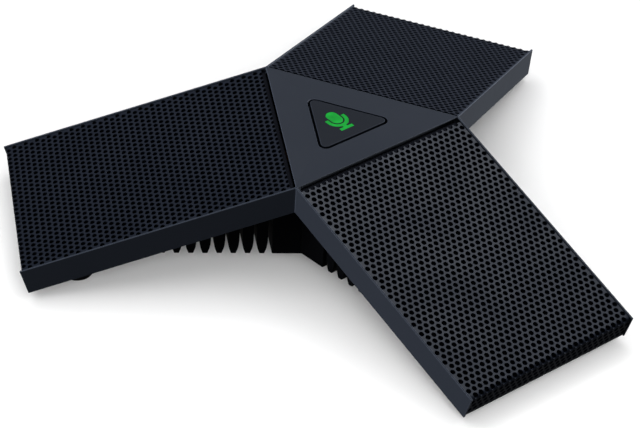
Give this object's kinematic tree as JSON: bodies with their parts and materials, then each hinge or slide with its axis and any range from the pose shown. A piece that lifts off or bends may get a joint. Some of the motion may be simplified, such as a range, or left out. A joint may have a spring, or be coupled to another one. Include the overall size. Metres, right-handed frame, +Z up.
{
  "type": "conference speakerphone",
  "caption": "Low three-armed conference speakerphone with sloping perforated arms, a lit triangular mute key and vent fins underneath.",
  "frame": {"origin": "on the table, under the middle of the object's box; the axis of the three arms is 14.6 mm from it along +Y", "axes": "+Z up, square to the table; -Y along the front arm, outwards; X across the two rear arms"},
  "size_m": [0.2658, 0.2302, 0.0467],
  "materials": {
    "housing_plastic": "fine matte texture, slightly blue dark grey",
    "underside_plastic": "matte black",
    "grille_metal": "satin powder coat on perforated sheet",
    "acoustic_cloth": "fine black woven cloth",
    "key_plastic": "fine matte texture",
    "lit_icon": "translucent, lit green from below",
    "rubber": "matte black",
    "circuit_board": "green solder mask",
    "black_plastic": "satin moulded black",
    "cone_paper": "matte pressed fibre",
    "flex_cable": "amber flexible film",
    "led_body": "milky",
    "screw_steel": "zinc plated",
    "magnet": "nickel plated",
    "shield_metal": "tinned sheet"
  },
  "bodies": {
    "chassis": {"top_frame": "housing_plastic", "lower_housing": "underside_plastic", "bottom_cover": "underside_plastic", "vent_comb_front": "underside_plastic", "vent_comb_right": "underside_plastic", "vent_comb_left": "underside_plastic", "grille_front": "grille_metal", "grille_right": "grille_metal", "grille_left": "grille_metal", "acoustic_cloth_front": "acoustic_cloth", "acoustic_cloth_right": "acoustic_cloth", "acoustic_cloth_left": "acoustic_cloth", "tact_switch": "black_plastic", "button_board": "circuit_board", "status_led_a": "led_body", "status_led_b": "led_body", "speaker_frame_front": "black_plastic", "speaker_frame_right": "black_plastic", "speaker_frame_left": "black_plastic", "speaker_magnet_front": "magnet", "speaker_magnet_right": "magnet", "speaker_magnet_left": "magnet", "speaker_surround_front": "rubber", "speaker_surround_right": "rubber", "speaker_surround_left": "rubber", "mic_boot_front": "rubber", "mic_boot_right": "rubber", "mic_boot_left": "rubber", "mic_capsule_front": "shield_metal", "mic_capsule_right": "shield_metal", "mic_capsule_left": "shield_metal", "arm_ribbon_front": "flex_cable", "arm_ribbon_right": "flex_cable", "arm_ribbon_left": "flex_cable", "main_board": "circuit_board", "processor_shield": "shield_metal", "network_socket": "black_plastic", "foot_front_a": "rubber", "foot_front_b": "rubber", "foot_right_a": "rubber", "foot_right_b": "rubber", "foot_left_a": "rubber", "foot_left_b": "rubber", "arm_screw_front_a": "screw_steel", "arm_screw_front_b": "screw_steel", "arm_screw_right_a": "screw_steel", "arm_screw_right_b": "screw_steel", "arm_screw_left_a": "screw_steel", "arm_screw_left_b": "screw_steel", "cover_screw_front": "screw_steel", "cover_screw_right": "screw_steel", "cover_screw_left": "screw_steel"},
    "mute_key": {"mute_button": "key_plastic", "mic_icon_lens": "lit_icon", "switch_plunger": "black_plastic"},
    "cone_front": {"speaker_cone_front": "cone_paper"},
    "cone_right": {"speaker_cone_right": "cone_paper"},
    "cone_left": {"speaker_cone_left": "cone_paper"}
  },
  "joints": [
    {"name": "mute_press", "type": "slide", "parent": "chassis", "child": "mute_key", "axis": [0, 0, -1], "range_m": [0, 0.0006], "stiffness_N_per_m": 2500, "springref_m": -0.0003},
    {"name": "cone_travel_front", "type": "slide", "parent": "chassis", "child": "cone_front", "axis": [0, -0.2975, 0.9547], "range_m": [-0.0004, 0.0004], "stiffness_N_per_m": 1500},
    {"name": "cone_travel_right", "type": "slide", "parent": "chassis", "child": "cone_right", "axis": [0.2577, 0.1488, 0.9547], "range_m": [-0.0004, 0.0004], "stiffness_N_per_m": 1500},
    {"name": "cone_travel_left", "type": "slide", "parent": "chassis", "child": "cone_left", "axis": [-0.2577, 0.1488, 0.9547], "range_m": [-0.0004, 0.0004], "stiffness_N_per_m": 1500}
  ]
}
